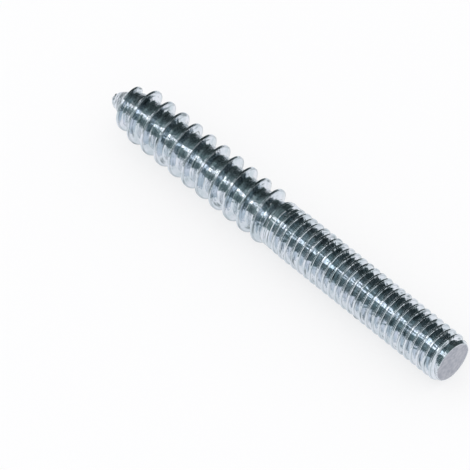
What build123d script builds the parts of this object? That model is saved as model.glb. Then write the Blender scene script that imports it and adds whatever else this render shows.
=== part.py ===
from build123d import *
import os
from math import atan2, ceil, cos, degrees, radians, tan

# A stud bolt with two different ends, made from one piece of steel wire.
# One end is a coarse wood-screw thread with a gimlet point. The other is the
# machine end, for a fine 6 mm thread with a pitch of 1 mm. That thread is not
# cut here: the end is plain, at the thread's crest radius, with the shoulder
# that leads into it and its chamfered, flat end. Millimetres. X runs along the
# bolt from the point to the flat end, and the origin is where the ends meet.

# Lengths from the plane where the ends meet
wood_length = 26.6
machine_length = 27.85

# Wood-screw thread: its core and its trapezoid ridge
wood_core_radius = 2.33
wood_crest_radius = 3.3
wood_pitch = 2.25
wood_crest_width = 0.3
wood_flank_angle = 20.0

# Where a crest passes straight over the bolt, and how the ridge runs out
# into the shoulder: it sinks below the core within about half a turn
wood_crest_over_top = -1.63
wood_run_out_start = -0.9
wood_run_out_end = 0.35
wood_run_out_drop = 0.55

# Gimlet point: a blunt cone, with the ridge's crest falling away down it
point_radius = 0.28
point_half_angle = 27.0
point_bare_length = 0.8
lead_start = 0.4
lead_length = 1.9
lead_crest_radius = 2.25

# Machine end: a shoulder up to the collar, then a short rise to full size
shoulder_length = 0.85
collar_radius = 2.84
first_crest_radius = 2.875
first_crest_end = 1.5
machine_crest_radius = 2.98
full_crest_start = 2.6
end_face_radius = 2.5
chamfer_length = 0.9

# How far the ridge is rooted in the core
root_depth = 0.2

# Where the point begins and where its cone reaches the core
point_tip = -wood_length
point_end = point_tip + (wood_core_radius - point_radius) / tan(radians(point_half_angle))


def screw_line(x_from, x_to, radius_from, radius_to):
    """A right-handed screw line about X at the wood thread's pitch.

    It lies on a cylinder or a cone and can run either way along X. All its
    stretches belong to the one screw line that sets wood_crest_over_top.
    """
    way = 1 if x_to > x_from else -1
    length = abs(x_to - x_from)
    taper = degrees(atan2(radius_to - radius_from, length))
    line = Helix(
        wood_pitch / cos(radians(taper)),
        length,
        radius_from,
        center=(x_from, 0, 0),
        direction=(way, 0, 0),
        cone_angle=taper,
        mode=Mode.PRIVATE,
    )
    start = line @ 0
    angle = degrees(atan2(start.Z, start.Y))
    wanted = 90 + 360 * (x_from - wood_crest_over_top) / wood_pitch
    return line.rotate(Axis.X, wanted - angle)


def section_plane(line):
    """The plane through the bolt's axis at the line's start, Y outwards."""
    start = line @ 0
    outwards = Vector(0, start.Y, start.Z).normalized()
    return Plane(origin=start, x_dir=(1, 0, 0), z_dir=Vector(1, 0, 0).cross(outwards))


def wood_ridge(line):
    """One stretch of the wood thread's ridge, rooted below the core."""
    height = wood_crest_radius - wood_core_radius
    half_crest = wood_crest_width / 2
    half_root = half_crest + (height + root_depth) * tan(radians(wood_flank_angle))
    with BuildPart() as ridge:
        with BuildSketch(section_plane(line)):
            with BuildLine():
                Polyline(
                    (-half_root, -root_depth),
                    (-half_crest, height),
                    (half_crest, height),
                    (half_root, -root_depth),
                    close=True,
                )
            make_face()
        sweep(path=line, is_frenet=True, clean=False)
    return ridge.part


def point_ridge(line):
    """The ridge down the point, cut by a cone so that its crest falls away."""
    with BuildPart() as lead:
        add(wood_ridge(line))
        with BuildSketch(Plane.XZ):
            with BuildLine():
                Polyline(
                    (point_tip, 0),
                    (point_tip + lead_start, point_radius),
                    (point_tip + lead_length, lead_crest_radius),
                    (point_end + wood_pitch, wood_crest_radius + wood_pitch),
                    (point_end + wood_pitch, 0),
                    close=True,
                )
            make_face()
        revolve(axis=Axis.X, mode=Mode.INTERSECT, clean=False)
    return lead.part


# The rolled blank: point, core, shoulder, collar, plain machine end, chamfer
with BuildPart() as stud:
    with BuildSketch(Plane.XZ):
        with BuildLine():
            Polyline(
                (point_tip, 0),
                (point_tip, point_radius),
                (point_end, wood_core_radius),
                (-shoulder_length, wood_core_radius),
                (0, collar_radius),
                (first_crest_end, first_crest_radius),
                (full_crest_start, machine_crest_radius),
                (machine_length - chamfer_length, machine_crest_radius),
                (machine_length, end_face_radius),
                (machine_length, 0),
                close=True,
            )
        make_face()
    revolve(axis=Axis.X)

    # The wood thread: one ridge, turn by turn, from the end of the point to
    # the shoulder, then a lead down the point and a run-out into the collar
    turns = ceil((wood_run_out_start - point_end) / wood_pitch)
    turn_length = (wood_run_out_start - point_end) / turns
    for turn in range(turns):
        line = screw_line(
            point_end + turn * turn_length, point_end + (turn + 1) * turn_length,
            wood_core_radius, wood_core_radius,
        )
        add(wood_ridge(line), clean=False)
    lead_end = point_tip + point_bare_length
    lead_radius = point_radius + point_bare_length * tan(radians(point_half_angle))
    line = screw_line(point_end, lead_end, wood_core_radius, lead_radius)
    add(point_ridge(line), clean=False)
    line = screw_line(
        wood_run_out_start, wood_run_out_end,
        wood_core_radius, wood_core_radius - wood_run_out_drop,
    )
    add(wood_ridge(line), clean=False)

stud.part.label = "stud_bolt"
os.makedirs("parts", exist_ok=True)
export_step(stud.part, "parts/stud_bolt.step")
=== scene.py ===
from math import cos, pi, radians, sin, tan

import bpy
import numpy as np
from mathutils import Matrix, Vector

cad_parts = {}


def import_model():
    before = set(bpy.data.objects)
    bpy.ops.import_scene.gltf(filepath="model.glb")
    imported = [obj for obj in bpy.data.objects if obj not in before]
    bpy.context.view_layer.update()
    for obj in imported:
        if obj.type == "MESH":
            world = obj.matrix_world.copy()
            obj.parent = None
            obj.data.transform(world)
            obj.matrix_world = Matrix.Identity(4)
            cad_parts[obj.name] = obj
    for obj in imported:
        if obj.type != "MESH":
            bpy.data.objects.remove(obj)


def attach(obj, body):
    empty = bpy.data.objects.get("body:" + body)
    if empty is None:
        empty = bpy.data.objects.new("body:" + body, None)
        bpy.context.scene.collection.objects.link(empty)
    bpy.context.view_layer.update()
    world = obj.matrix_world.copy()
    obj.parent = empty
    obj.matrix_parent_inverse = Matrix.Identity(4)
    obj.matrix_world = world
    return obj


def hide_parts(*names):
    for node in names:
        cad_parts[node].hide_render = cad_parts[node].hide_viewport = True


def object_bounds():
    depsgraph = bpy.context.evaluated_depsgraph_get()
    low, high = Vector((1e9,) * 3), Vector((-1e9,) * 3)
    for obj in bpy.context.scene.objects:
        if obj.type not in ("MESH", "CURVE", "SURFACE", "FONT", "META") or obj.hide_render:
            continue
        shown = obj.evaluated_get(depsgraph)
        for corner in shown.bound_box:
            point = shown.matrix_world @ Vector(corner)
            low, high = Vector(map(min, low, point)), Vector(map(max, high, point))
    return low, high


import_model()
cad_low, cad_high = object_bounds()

# The bolt lies along X, with the gimlet point at -X and the flat machine end
# at +X. Its sizes are in millimetres, and X counts from the plane where the
# two threads meet. Everything that goes into Blender is in metres. The point
# is blunter than the CAD's, so it ends this much before the CAD's tip.
mm = 0.001
point_shortening = 0.4
point_tip = cad_low.x / mm + point_shortening
machine_end = cad_high.x / mm

# The blunt point is a cone with a rounded tip. The tip's radius is the cone's
# at the very end, before it is rounded.
tip_radius = 0.84
tip_rounding = 0.5
point_half_angle = radians(26)
cone_rounding = 0.5

# The point is bent a little, towards -Y and down, by this amount times the
# square of the distance past the bend's start
bend_start = -23.0
bend_amount = 0.031
bend_angle = radians(209.2)

# The rolled blank behind the point: the wood thread's core, a shoulder up to
# the collar, the machine end and its chamfer
core_radius = 2.33
neck_radius = 2.24
neck_start = -1.5
neck_end = -0.8
collar_radius = 2.84
first_crest_radius = 2.875
first_crest_end = 1.5
full_crest_start = 2.6
chamfer_length = 0.9
end_face_radius = 2.5

# The wood-screw thread: a ridge with a rolled seam along its crest. From the
# run-out's start to the collar, the crest comes down at the run-out's slope.
wood_crest_radius = 3.27
wood_pitch = 2.2513
wood_crest_over_top = -1.626
wood_half_crest = 0.13
wood_flank_angle = radians(20)
wood_crest_rounding = 0.06
wood_root_rounding = 0.3
wood_run_out_start = -0.9
wood_run_out_slope = 0.44
seam_depth = 0.09
seam_half_width = 0.055

# The ridge isn't quite even: its height follows a sine along X, whose phase
# drifts to and fro as a second sine
wave_height = 0.02
wave_rate = 2.1
drift_height = 1.3
drift_rate = 0.9

# Where the ridge starts on the point: a crest's distance from the tip, and
# its radius there
lead_crests = [
    (0.4, 0.9),
    (0.95, 1.6),
    (1.52, 2.36),
    (2.86, 2.85),
    (3.8, wood_crest_radius),
]

# The machine thread: a V groove with a rounded bottom
machine_crest_radius = 2.975
machine_root_radius = 2.36
machine_pitch = 1.0
machine_crest_over_top = 0.73
machine_half_crest = 0.07
machine_crest_rounding = 0.05
machine_root_rounding = 0.06
groove_run_out_start = -0.3
groove_full_start = 1.8

# The rings inside the two end faces
tip_ring_radius = 0.12
end_rim_width = 0.08
end_ring_radius = 1.0

# The grid that the surface is made on: columns round the bolt, and lines that
# run beside the crests, at these distances from them. The wood thread's lines
# give way to the machine thread's at the join.
columns = 128
column_angles = np.arange(columns) * 2 * pi / columns
join = -0.3
wood_foot = wood_half_crest + (wood_crest_radius - core_radius) * tan(wood_flank_angle)
wood_lines = [
    0.035, 0.07, 0.11, 0.15, 0.19, 0.27, 0.36,
    wood_foot - 0.05, wood_foot + 0.04, wood_foot + 0.13, wood_foot + 0.25, wood_foot + 0.4,
]
machine_lines = [0.03, 0.07, 0.105, 0.17, 0.25, 0.33, 0.41, 0.455]

# Cards round the bolt, in metres. A curved card's shades are pairs of an
# angle in degrees, round the bolt from +Y towards +Z, and a brightness there.
card_distance = 0.9
card_half_length = 1.2
card_steps = 40
card_colour = (0.76, 1.0, 1.0)
side_shades = [
    (-1, 0.12),
    (14, 0.06),
    (28, 0.045),
    (52, 0.06),
    (66, 0.11),
    (84, 0.22),
    (106, 0.32),
]
front_shades = [(125, 0.36), (138, 0.26), (150, 0.19), (164, 0.15), (176, 0.4)]
apron_start = 0.02
apron_height = -0.0015
apron_brightness = 0.12
far_card_low = 0.35
far_card_brightness = 0.05


def rounded_min(a, b, rounding):
    """The smaller of two heights, with a rounded edge where they cross."""
    share = np.clip(0.5 + 0.5 * (b - a) / rounding, 0, 1)
    return b * (1 - share) + a * share - rounding * share * (1 - share)


def rounded_max(a, b, rounding):
    """The larger of two heights, with a fillet where they cross."""
    return -rounded_min(-a, -b, rounding)


def blank_radius(x):
    """The radius that the threads are rolled on."""
    from_tip = np.maximum(x - point_tip, 0)
    cone = tip_radius + from_tip * tan(point_half_angle)
    body = np.interp(
        x,
        [neck_start, neck_end, 0, first_crest_end, full_crest_start,
         machine_end - chamfer_length, machine_end],
        [core_radius, neck_radius, collar_radius, first_crest_radius, machine_crest_radius,
         machine_crest_radius, end_face_radius],
    )
    point = rounded_min(cone, body, cone_rounding)
    flat = tip_radius - tip_rounding * tan((pi / 2 - point_half_angle) / 2)
    to_centre = tip_rounding - np.minimum(from_tip, tip_rounding)
    nose = flat + np.sqrt(np.maximum(tip_rounding**2 - to_centre**2, 0))
    nose_length = tip_rounding * (1 - sin(point_half_angle))
    return np.where(from_tip < nose_length, np.minimum(nose, point), point)


def nearest_turn(x, turn, pitch, over_top):
    """The x of a thread's nearest crest or groove, and how far x is from it.

    The place is turn turns round the bolt from its top, where the crest or
    groove crosses at over_top.
    """
    count = np.round((x - over_top) / pitch - turn)
    turn_x = over_top + (count + turn) * pitch
    return turn_x, np.abs(x - turn_x)


def wood_ridge_radius(x, turn):
    """The wood thread's ridge, which fades out at the point and at the collar."""
    crest_x, across = nearest_turn(x, turn, wood_pitch, wood_crest_over_top)
    distances, radii = zip(*lead_crests)
    crest = np.interp(crest_x - point_tip, distances, radii)
    drift = drift_height * np.sin(crest_x * drift_rate)
    crest = crest + wave_height * np.sin(crest_x * wave_rate + drift)
    crest = crest - wood_run_out_slope * np.maximum(crest_x - wood_run_out_start, 0)
    seam = seam_depth * np.exp(-((across / seam_half_width) ** 2))
    flank = crest - (across - wood_half_crest) / tan(wood_flank_angle)
    return rounded_min(crest - seam, flank, wood_crest_rounding)


def machine_groove_radius(x, turn):
    """The machine thread's groove: its bottom, and walls that go on past the crests."""
    groove_over_top = machine_crest_over_top + machine_pitch / 2
    groove_x, across = nearest_turn(x, turn, machine_pitch, groove_over_top)
    half_mouth = machine_pitch / 2 - machine_half_crest
    depth = machine_crest_radius - machine_root_radius
    rounded_across = np.sqrt(across**2 + machine_root_rounding**2) - machine_root_rounding
    rounded_mouth = np.sqrt(half_mouth**2 + machine_root_rounding**2) - machine_root_rounding
    root = np.interp(
        groove_x,
        [groove_run_out_start, groove_full_start],
        [machine_crest_radius, machine_root_radius],
    )
    return root + depth * rounded_across / rounded_mouth


def bolt_radius(x, angle):
    """The finished bolt's radius at x, angle radians round from +Y towards +Z."""
    turn = (angle - pi / 2) / (2 * pi)
    body = rounded_min(blank_radius(x), machine_groove_radius(x, turn), machine_crest_rounding)
    wood = rounded_max(body, wood_ridge_radius(x, turn), wood_root_rounding)
    return np.where(x < join + machine_pitch, wood, body)


def ring_radii(x):
    """The finished bolt's radius in each column at one x."""
    return bolt_radius(np.full(columns, x), column_angles)


def bolt_point(x, radius, angle):
    """A point of the surface, moved over where the bolt's point is bent."""
    bend = bend_amount * max(bend_start - x, 0) ** 2
    y = radius * cos(angle) + bend * cos(bend_angle)
    z = radius * sin(angle) + bend * sin(bend_angle)
    return (x, y, z)


def both_sides(lines, pitch):
    """Distances from a crest, turned into shares of the pitch on both its sides."""
    return [side * line / pitch for line in lines for side in (1, -1)]


def thread_grid(low, high, pitch, crest_over_top, steps):
    """Grid positions in one thread's stretch, on lines that follow its crests.

    The steps are the lines' places within a turn, as shares of the pitch from
    a crest. Returns x for every line and column, the number of lines in a
    turn, and each place across and along the thread. A line keeps its place
    on the thread's profile all the way round, so that edges stay sharp. Past
    the stretch's ends, x stays at the end.
    """
    steps = np.sort(np.asarray(steps))
    spare_turns = 2
    first_turn = int(np.floor((low - crest_over_top) / pitch)) - spare_turns
    last_turn = int(np.ceil((high - crest_over_top) / pitch)) + spare_turns
    turns = np.arange(first_turn, last_turn + 1)
    phases = (turns[:, None] + steps[None, :]).ravel()
    quarter_turn = 0.25
    column_turns = np.arange(columns + 1) / columns - quarter_turn
    x = crest_over_top + (phases[:, None] + column_turns[None, :]) * pitch
    crests = np.round(phases)
    along = (crests[:, None] + column_turns[None, :]) * 2 * pi * core_radius
    across = np.broadcast_to((phases - crests)[:, None] * pitch, along.shape)
    return np.clip(x, low, high), len(steps), across, along


class Surface:
    """Collects the bolt's vertices and faces, with their outsides outwards.

    A vertex's place is how far across and along its thread it lies.
    """

    def __init__(self):
        self.points = []
        self.places = []
        self.faces = []

    def vertex(self, x, radius, angle, across, along):
        """Adds a vertex and returns its number."""
        self.points.append(bolt_point(x, radius, angle))
        self.places.append((across, along, 0))
        return len(self.points) - 1

    def ring(self, x, radii):
        """Adds a ring of vertices at one x and returns their numbers."""
        radii = np.broadcast_to(radii, columns)
        return [
            self.vertex(x, radius, angle, x, angle * core_radius)
            for angle, radius in zip(column_angles, radii)
        ]

    def number_grid(self, grid, low_ring, high_ring, low, high):
        """Adds a grid's vertices between two rings and returns all the numbers."""
        x, per_turn, across, along = grid
        rows = x.shape[0]
        radii = bolt_radius(x[:, :columns], column_angles[None, :])
        numbers = np.empty((rows, columns + 1), int)
        for row in range(rows):
            for column, angle in enumerate(column_angles):
                at = x[row, column]
                if at <= low:
                    numbers[row, column] = low_ring[column]
                elif at >= high:
                    numbers[row, column] = high_ring[column]
                else:
                    place = (across[row, column], along[row, column])
                    numbers[row, column] = self.vertex(at, radii[row, column], angle, *place)
        for row in range(rows):
            wrapped = row + per_turn
            numbers[row, columns] = numbers[wrapped, 0] if wrapped < rows else high_ring[0]
        return numbers

    def zone(self, grid, low_ring, high_ring, low, high):
        """Adds one thread's stretch between two rings."""
        numbers = self.number_grid(grid, low_ring, high_ring, low, high)
        for row in range(len(numbers) - 1):
            for column in range(columns):
                corners = (
                    numbers[row, column],
                    numbers[row, column + 1],
                    numbers[row + 1, column + 1],
                    numbers[row + 1, column],
                )
                distinct = list(dict.fromkeys(int(corner) for corner in corners))
                if len(distinct) > 2:
                    self.faces.append(distinct)

    def band(self, outer, inner):
        """Joins two rings with quads, which look to +X when the outer one is first."""
        for column in range(columns):
            after = (column + 1) % columns
            self.faces.append([outer[column], outer[after], inner[after], inner[column]])

    def cap(self, ring, x):
        """Closes a ring with a fan to a point on the axis."""
        centre = self.vertex(x, 0, 0, x, 0)
        for column in range(columns):
            self.faces.append([ring[column], ring[(column + 1) % columns], centre])


def link(name, data):
    """Adds an object to the scene."""
    made = bpy.data.objects.new(name, data)
    bpy.context.scene.collection.objects.link(made)
    return made


def as_object(surface, first_end_face):
    """Makes the bolt's object. Faces from first_end_face on take the second material."""
    mesh = bpy.data.meshes.new("stud_bolt_threads")
    mesh.from_pydata((np.array(surface.points) * mm).tolist(), [], surface.faces)
    mesh.shade_smooth()
    for face in mesh.polygons[first_end_face:]:
        face.material_index = 1
    place = mesh.attributes.new("thread_place", "FLOAT_VECTOR", "POINT")
    place.data.foreach_set("vector", (np.array(surface.places) * mm).ravel())
    mesh.validate()
    return link("stud_bolt_threads", mesh)


def build_bolt():
    """The whole bolt as one closed mesh, with its flat end in the second material."""
    surface = Surface()
    tip_ring = surface.ring(point_tip, ring_radii(point_tip))
    join_ring = surface.ring(join, ring_radii(join))
    end_ring = surface.ring(machine_end, ring_radii(machine_end))

    wood_steps = [0] + both_sides(wood_lines, wood_pitch)
    wood_grid = thread_grid(point_tip, join, wood_pitch, wood_crest_over_top, wood_steps)
    surface.zone(wood_grid, tip_ring, join_ring, point_tip, join)

    groove_middle = 0.5
    machine_steps = both_sides(machine_lines, machine_pitch) + [groove_middle]
    machine_grid = thread_grid(
        join, machine_end, machine_pitch, machine_crest_over_top, machine_steps
    )
    surface.zone(machine_grid, join_ring, end_ring, join, machine_end)

    tip_inner = surface.ring(point_tip, tip_ring_radius)
    surface.band(tip_inner, tip_ring)
    surface.cap(tip_inner[::-1], point_tip)

    end_rim = surface.ring(machine_end, ring_radii(machine_end) - end_rim_width)
    end_inner = surface.ring(machine_end, end_ring_radius)
    surface.band(end_ring, end_rim)
    first_end_face = len(surface.faces)
    surface.band(end_rim, end_inner)
    surface.cap(end_inner, machine_end)
    return as_object(surface, first_end_face)


class Material:
    """A new material, with short ways to add nodes to it."""

    def __init__(self, name):
        self.data = bpy.data.materials.new(name)
        self.data.use_nodes = True
        self.tree = self.data.node_tree
        self.shader = self.tree.nodes["Principled BSDF"]

    def fill(self, node, inputs):
        """Sets a node's inputs, each to a constant or to another node's output."""
        for name, value in inputs.items():
            if isinstance(value, bpy.types.NodeSocket):
                self.tree.links.new(value, node.inputs[name])
            else:
                node.inputs[name].default_value = value

    def node(self, kind, inputs, **settings):
        """Adds a node with its inputs and settings."""
        node = self.tree.nodes.new(kind)
        for name, value in settings.items():
            setattr(node, name, value)
        self.fill(node, inputs)
        return node

    def show(self, output):
        """Makes a shader's output the material's surface."""
        self.fill(self.tree.nodes["Material Output"], {"Surface": output})

    def math(self, operation, *values):
        """The result of a Math node."""
        return self.node("ShaderNodeMath", dict(enumerate(values)), operation=operation).outputs[0]

    def stretched(self, place, scale):
        """Places multiplied by a scale along each axis."""
        change = self.node("ShaderNodeVectorMath", {0: place, 1: scale}, operation="MULTIPLY")
        return change.outputs["Vector"]

    def along_x(self, place):
        """The X of a place."""
        return self.node("ShaderNodeSeparateXYZ", {"Vector": place}).outputs["X"]

    def noise(self, place, scale, detail):
        """A noise texture on the given places, in cycles a metre."""
        inputs = {"Vector": place, "Scale": scale, "Detail": detail}
        return self.node("ShaderNodeTexNoise", inputs).outputs["Fac"]

    def spread(self, value, low, high, to_low=0, to_high=1):
        """Stretches one range of values over another, and clips what is past it."""
        inputs = {
            "Value": value,
            "From Min": low,
            "From Max": high,
            "To Min": to_low,
            "To Max": to_high,
        }
        return self.node("ShaderNodeMapRange", inputs).outputs["Result"]

    def tint(self, value, dark, pale):
        """Turns a value from 0 to 1 into a colour between two."""
        ramp = self.node("ShaderNodeValToRGB", {"Fac": value})
        ramp.color_ramp.elements[0].color = (*dark, 1)
        ramp.color_ramp.elements[1].color = (*pale, 1)
        return ramp.outputs["Color"]

    def relief(self, layers):
        """Stacks bump layers, each a height from 0 to 1 and its depth in metres."""
        below = {}
        for height, depth in layers:
            bump = self.node("ShaderNodeBump", {"Height": height, "Distance": depth, **below})
            below = {"Normal": bump.outputs["Normal"]}
        return below["Normal"]


def zinc_colour(zinc, solid, from_crest, lines):
    """Lavender to blue-grey plate, darker in rolling marks, with a line of painted shade beside
    the crests.
    """
    cloud = zinc.spread(zinc.noise(solid, scale=700, detail=3), low=0.35, high=0.65)
    plate = zinc.tint(cloud, dark=(0.60, 0.68, 0.74), pale=(0.76, 0.80, 0.87))
    clear_of_marks = zinc.spread(lines, low=0.30, high=0.42)
    # A thin line of painted shade beside each crest, at this distance from it
    edge_distance = 0.00016
    edge_half_width = 0.00004
    painted_edge_shade = -0.32
    at_edge = zinc.math("COMPARE", from_crest, edge_distance, edge_half_width)
    clear_of_marks_and_shade = zinc.math("MULTIPLY_ADD", at_edge, painted_edge_shade, clear_of_marks)
    # The rolling marks' dark colour, which is also the painted shade beside the crests
    mark_and_shade_colour = (0.26, 0.31, 0.34, 1)
    mixed = zinc.node(
        "ShaderNodeMixRGB", {"Fac": clear_of_marks_and_shade, "Color1": mark_and_shade_colour, "Color2": plate}
    )
    return mixed.outputs["Color"]


def zinc_relief(zinc, solid, wobble, lines, grain):
    """Waves, rolling marks and grain, each with a depth on either thread."""
    to_wood = 0.001
    wood_share = zinc.spread(zinc.along_x(solid), to_wood, -to_wood)
    layers = []
    for height, machine_depth, wood_depth in (
        (wobble, 0.00019, 0.00012),
        (lines, 0.00004, 0.00006),
        (grain, 0.00001, 0.00003),
    ):
        scale = zinc.spread(wood_share, 0, 1, to_low=machine_depth / wood_depth)
        layers.append((zinc.math("MULTIPLY", height, scale), wood_depth))
    return zinc.relief(layers)


def zinc_plate():
    """Bright zinc plate. Its marks follow the threads, by each vertex's place."""
    zinc = Material("zinc_plate")
    solid = zinc.node("ShaderNodeTexCoord", {}).outputs["Object"]
    thread = zinc.node("ShaderNodeAttribute", {}, attribute_name="thread_place").outputs["Vector"]
    from_crest = zinc.math("ABSOLUTE", zinc.along_x(thread))
    wobble = zinc.noise(zinc.stretched(thread, (0.1, 1, 1)), scale=800, detail=2)
    lines = zinc.noise(zinc.stretched(thread, (1, 0.09, 1)), scale=5500, detail=1)
    grain = zinc.noise(solid, scale=3400, detail=1)
    zinc.fill(zinc.shader, {
        "Metallic": 1.0,
        "Roughness": zinc.spread(grain, 0.3, 0.7, to_low=0.08, to_high=0.22),
        "Base Color": zinc_colour(zinc, solid, from_crest, lines),
        "Normal": zinc_relief(zinc, solid, wobble, lines, grain),
    })
    return zinc.data


def cut_end():
    """The flat end: the same plate, matt and mottled."""
    zinc = Material("zinc_cut_end")
    solid = zinc.node("ShaderNodeTexCoord", {}).outputs["Object"]
    cloud = zinc.spread(zinc.noise(solid, scale=2200, detail=5), low=0.35, high=0.65)
    grain = zinc.noise(solid, scale=5000, detail=3)
    grain_depth = 0.00001
    zinc.fill(zinc.shader, {
        "Metallic": 1.0,
        "Roughness": 0.5,
        "Base Color": zinc.tint(cloud, dark=(0.40, 0.42, 0.48), pale=(0.54, 0.55, 0.60)),
        "Normal": zinc.relief([(grain, grain_depth)]),
    })
    return zinc.data


def facing(way):
    """The rotation of a camera or lamp that looks along a direction."""
    return way.to_track_quat("-Z", "Y").to_euler()


def camera():
    """The photograph's view: a long lens, above the bolt and to its machine end."""
    aim = Vector((-1.19, -5.61, 1.57)) * mm
    distance = 718.1 * mm
    azimuth = radians(45.81)
    elevation = radians(51.28)
    across = cos(elevation)
    back = Vector((sin(azimuth) * across, -cos(azimuth) * across, sin(elevation)))
    data = bpy.data.cameras.new("camera")
    data.sensor_width = 36
    data.lens = 487.1
    data.clip_start = 0.05
    data.clip_end = 20
    made = link("camera", data)
    made.location = aim + back * distance
    made.rotation_euler = facing(-back)
    bpy.context.scene.camera = made


def floor_paint():
    """White for the camera and in the metal's gloss, and it keeps the bolt's shadow."""
    paint = Material("floor_white")
    paint.fill(paint.shader, {
        "Base Color": (0.9, 0.9, 0.92, 1),
        "Roughness": 0.9,
        "Specular IOR Level": 0.0,
    })
    white = paint.node("ShaderNodeEmission", {"Color": (1, 1, 1, 1), "Strength": 1.0})
    ray = paint.node("ShaderNodeLightPath", {})
    seen = paint.math("ADD", ray.outputs["Is Camera Ray"], ray.outputs["Is Glossy Ray"])
    white_share = 0.7
    share = paint.math("MULTIPLY", seen, white_share)
    shaders = {1: paint.shader.outputs[0], 2: white.outputs[0]}
    mix = paint.node("ShaderNodeMixShader", {0: share, **shaders})
    paint.show(mix.outputs[0])
    return paint.data


def floor():
    """A white floor, just under the last full wood crest and the machine end.

    It tilts by 0.6 degrees, because the wood thread is the thicker of the two.
    """
    crest_x = -0.88 * mm
    crest_z = -wood_crest_radius * mm
    end_x = (machine_end - chamfer_length) * mm
    end_z = -machine_crest_radius * mm
    slope = (end_z - crest_z) / (end_x - crest_x)
    height = crest_z - slope * crest_x
    size = 1.5
    corners = []
    for x, y in ((-size, -size), (size, -size), (size, size), (-size, size)):
        corners.append((x, y, height + slope * x))
    mesh = bpy.data.meshes.new("floor")
    mesh.from_pydata(corners, [], [(0, 1, 2, 3)])
    mesh.materials.append(floor_paint())
    link("floor", mesh)


def add_card(name, points, faces, brightness):
    """Adds a card that glows at each point's brightness, seen only in reflections."""
    mesh = bpy.data.meshes.new(name)
    mesh.from_pydata(points, [], faces)
    shades = mesh.attributes.new("shade", "FLOAT_COLOR", "POINT")
    colours = np.ones((len(points), 4))
    colours[:, :3] = np.array(brightness)[:, None] * np.array(card_colour)
    shades.data.foreach_set("color", colours.ravel())
    paint = Material(name)
    shade = paint.node("ShaderNodeAttribute", {}, attribute_name="shade").outputs["Color"]
    glow = paint.node("ShaderNodeEmission", {"Color": shade})
    paint.show(glow.outputs[0])
    mesh.materials.append(paint.data)
    made = link(name, mesh)
    made.visible_camera = False
    made.visible_diffuse = False
    made.visible_shadow = False
    made.visible_transmission = False


def curved_card(name, shades):
    """A card that curves round the bolt's line, with its shades along the curve."""
    angles, brightness = zip(*shades)
    card_angles = np.linspace(angles[0], angles[-1], card_steps + 1)
    points = []
    for angle in np.radians(card_angles):
        for x in (-card_half_length, card_half_length):
            points.append((x, card_distance * cos(angle), card_distance * sin(angle)))
    faces = [(2 * i, 2 * i + 1, 2 * i + 3, 2 * i + 2) for i in range(card_steps)]
    add_card(name, points, faces, np.repeat(np.interp(card_angles, angles, brightness), 2))


def flat_card(name, corners, brightness):
    """A flat card of one shade."""
    add_card(name, corners, [(0, 1, 2, 3)], [brightness] * 4)


def dark_apron():
    """A dark card that lies behind the bolt, at about the floor's height."""
    end = card_half_length
    near = apron_start
    far = card_distance
    corners = [(-end, near), (end, near), (end, far), (-end, far)]
    places = [(x, y, apron_height) for x, y in corners]
    flat_card("dark_apron", places, apron_brightness)


def dark_far_end():
    """A dark card that stands far past the bolt's point."""
    side = card_distance
    bottom = far_card_low
    top = card_distance
    corners = [(-side, bottom), (side, bottom), (side, top), (-side, top)]
    places = [(-card_half_length, y, z) for y, z in corners]
    flat_card("dark_far_end", places, far_card_brightness)


def world():
    """A plain white world, which gives most of the light."""
    made = bpy.data.worlds.new("studio")
    bpy.context.scene.world = made
    made.use_nodes = True
    background = made.node_tree.nodes["Background"]
    background.inputs["Color"].default_value = (1, 1, 1, 1)
    background.inputs["Strength"].default_value = 1.0


def strip_lamp():
    """A long lamp over the bolt's near side, for the bright line along it."""
    data = bpy.data.lights.new("top_strip", "AREA")
    data.shape = "RECTANGLE"
    data.size = 0.8
    data.size_y = 0.13
    data.energy = 0.55
    made = link("top_strip", data)
    place = Vector((0, -0.34, 0.71))
    made.location = place
    made.rotation_euler = facing(-place)


bolt = build_bolt()
bolt.data.materials.append(zinc_plate())
bolt.data.materials.append(cut_end())
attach(bolt, "root")
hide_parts("stud_bolt")

camera()
floor()
world()
curved_card("dark_side", side_shades)
curved_card("dark_front", front_shades)
dark_apron()
dark_far_end()
strip_lamp()

bpy.context.scene.view_settings.view_transform = "Standard"
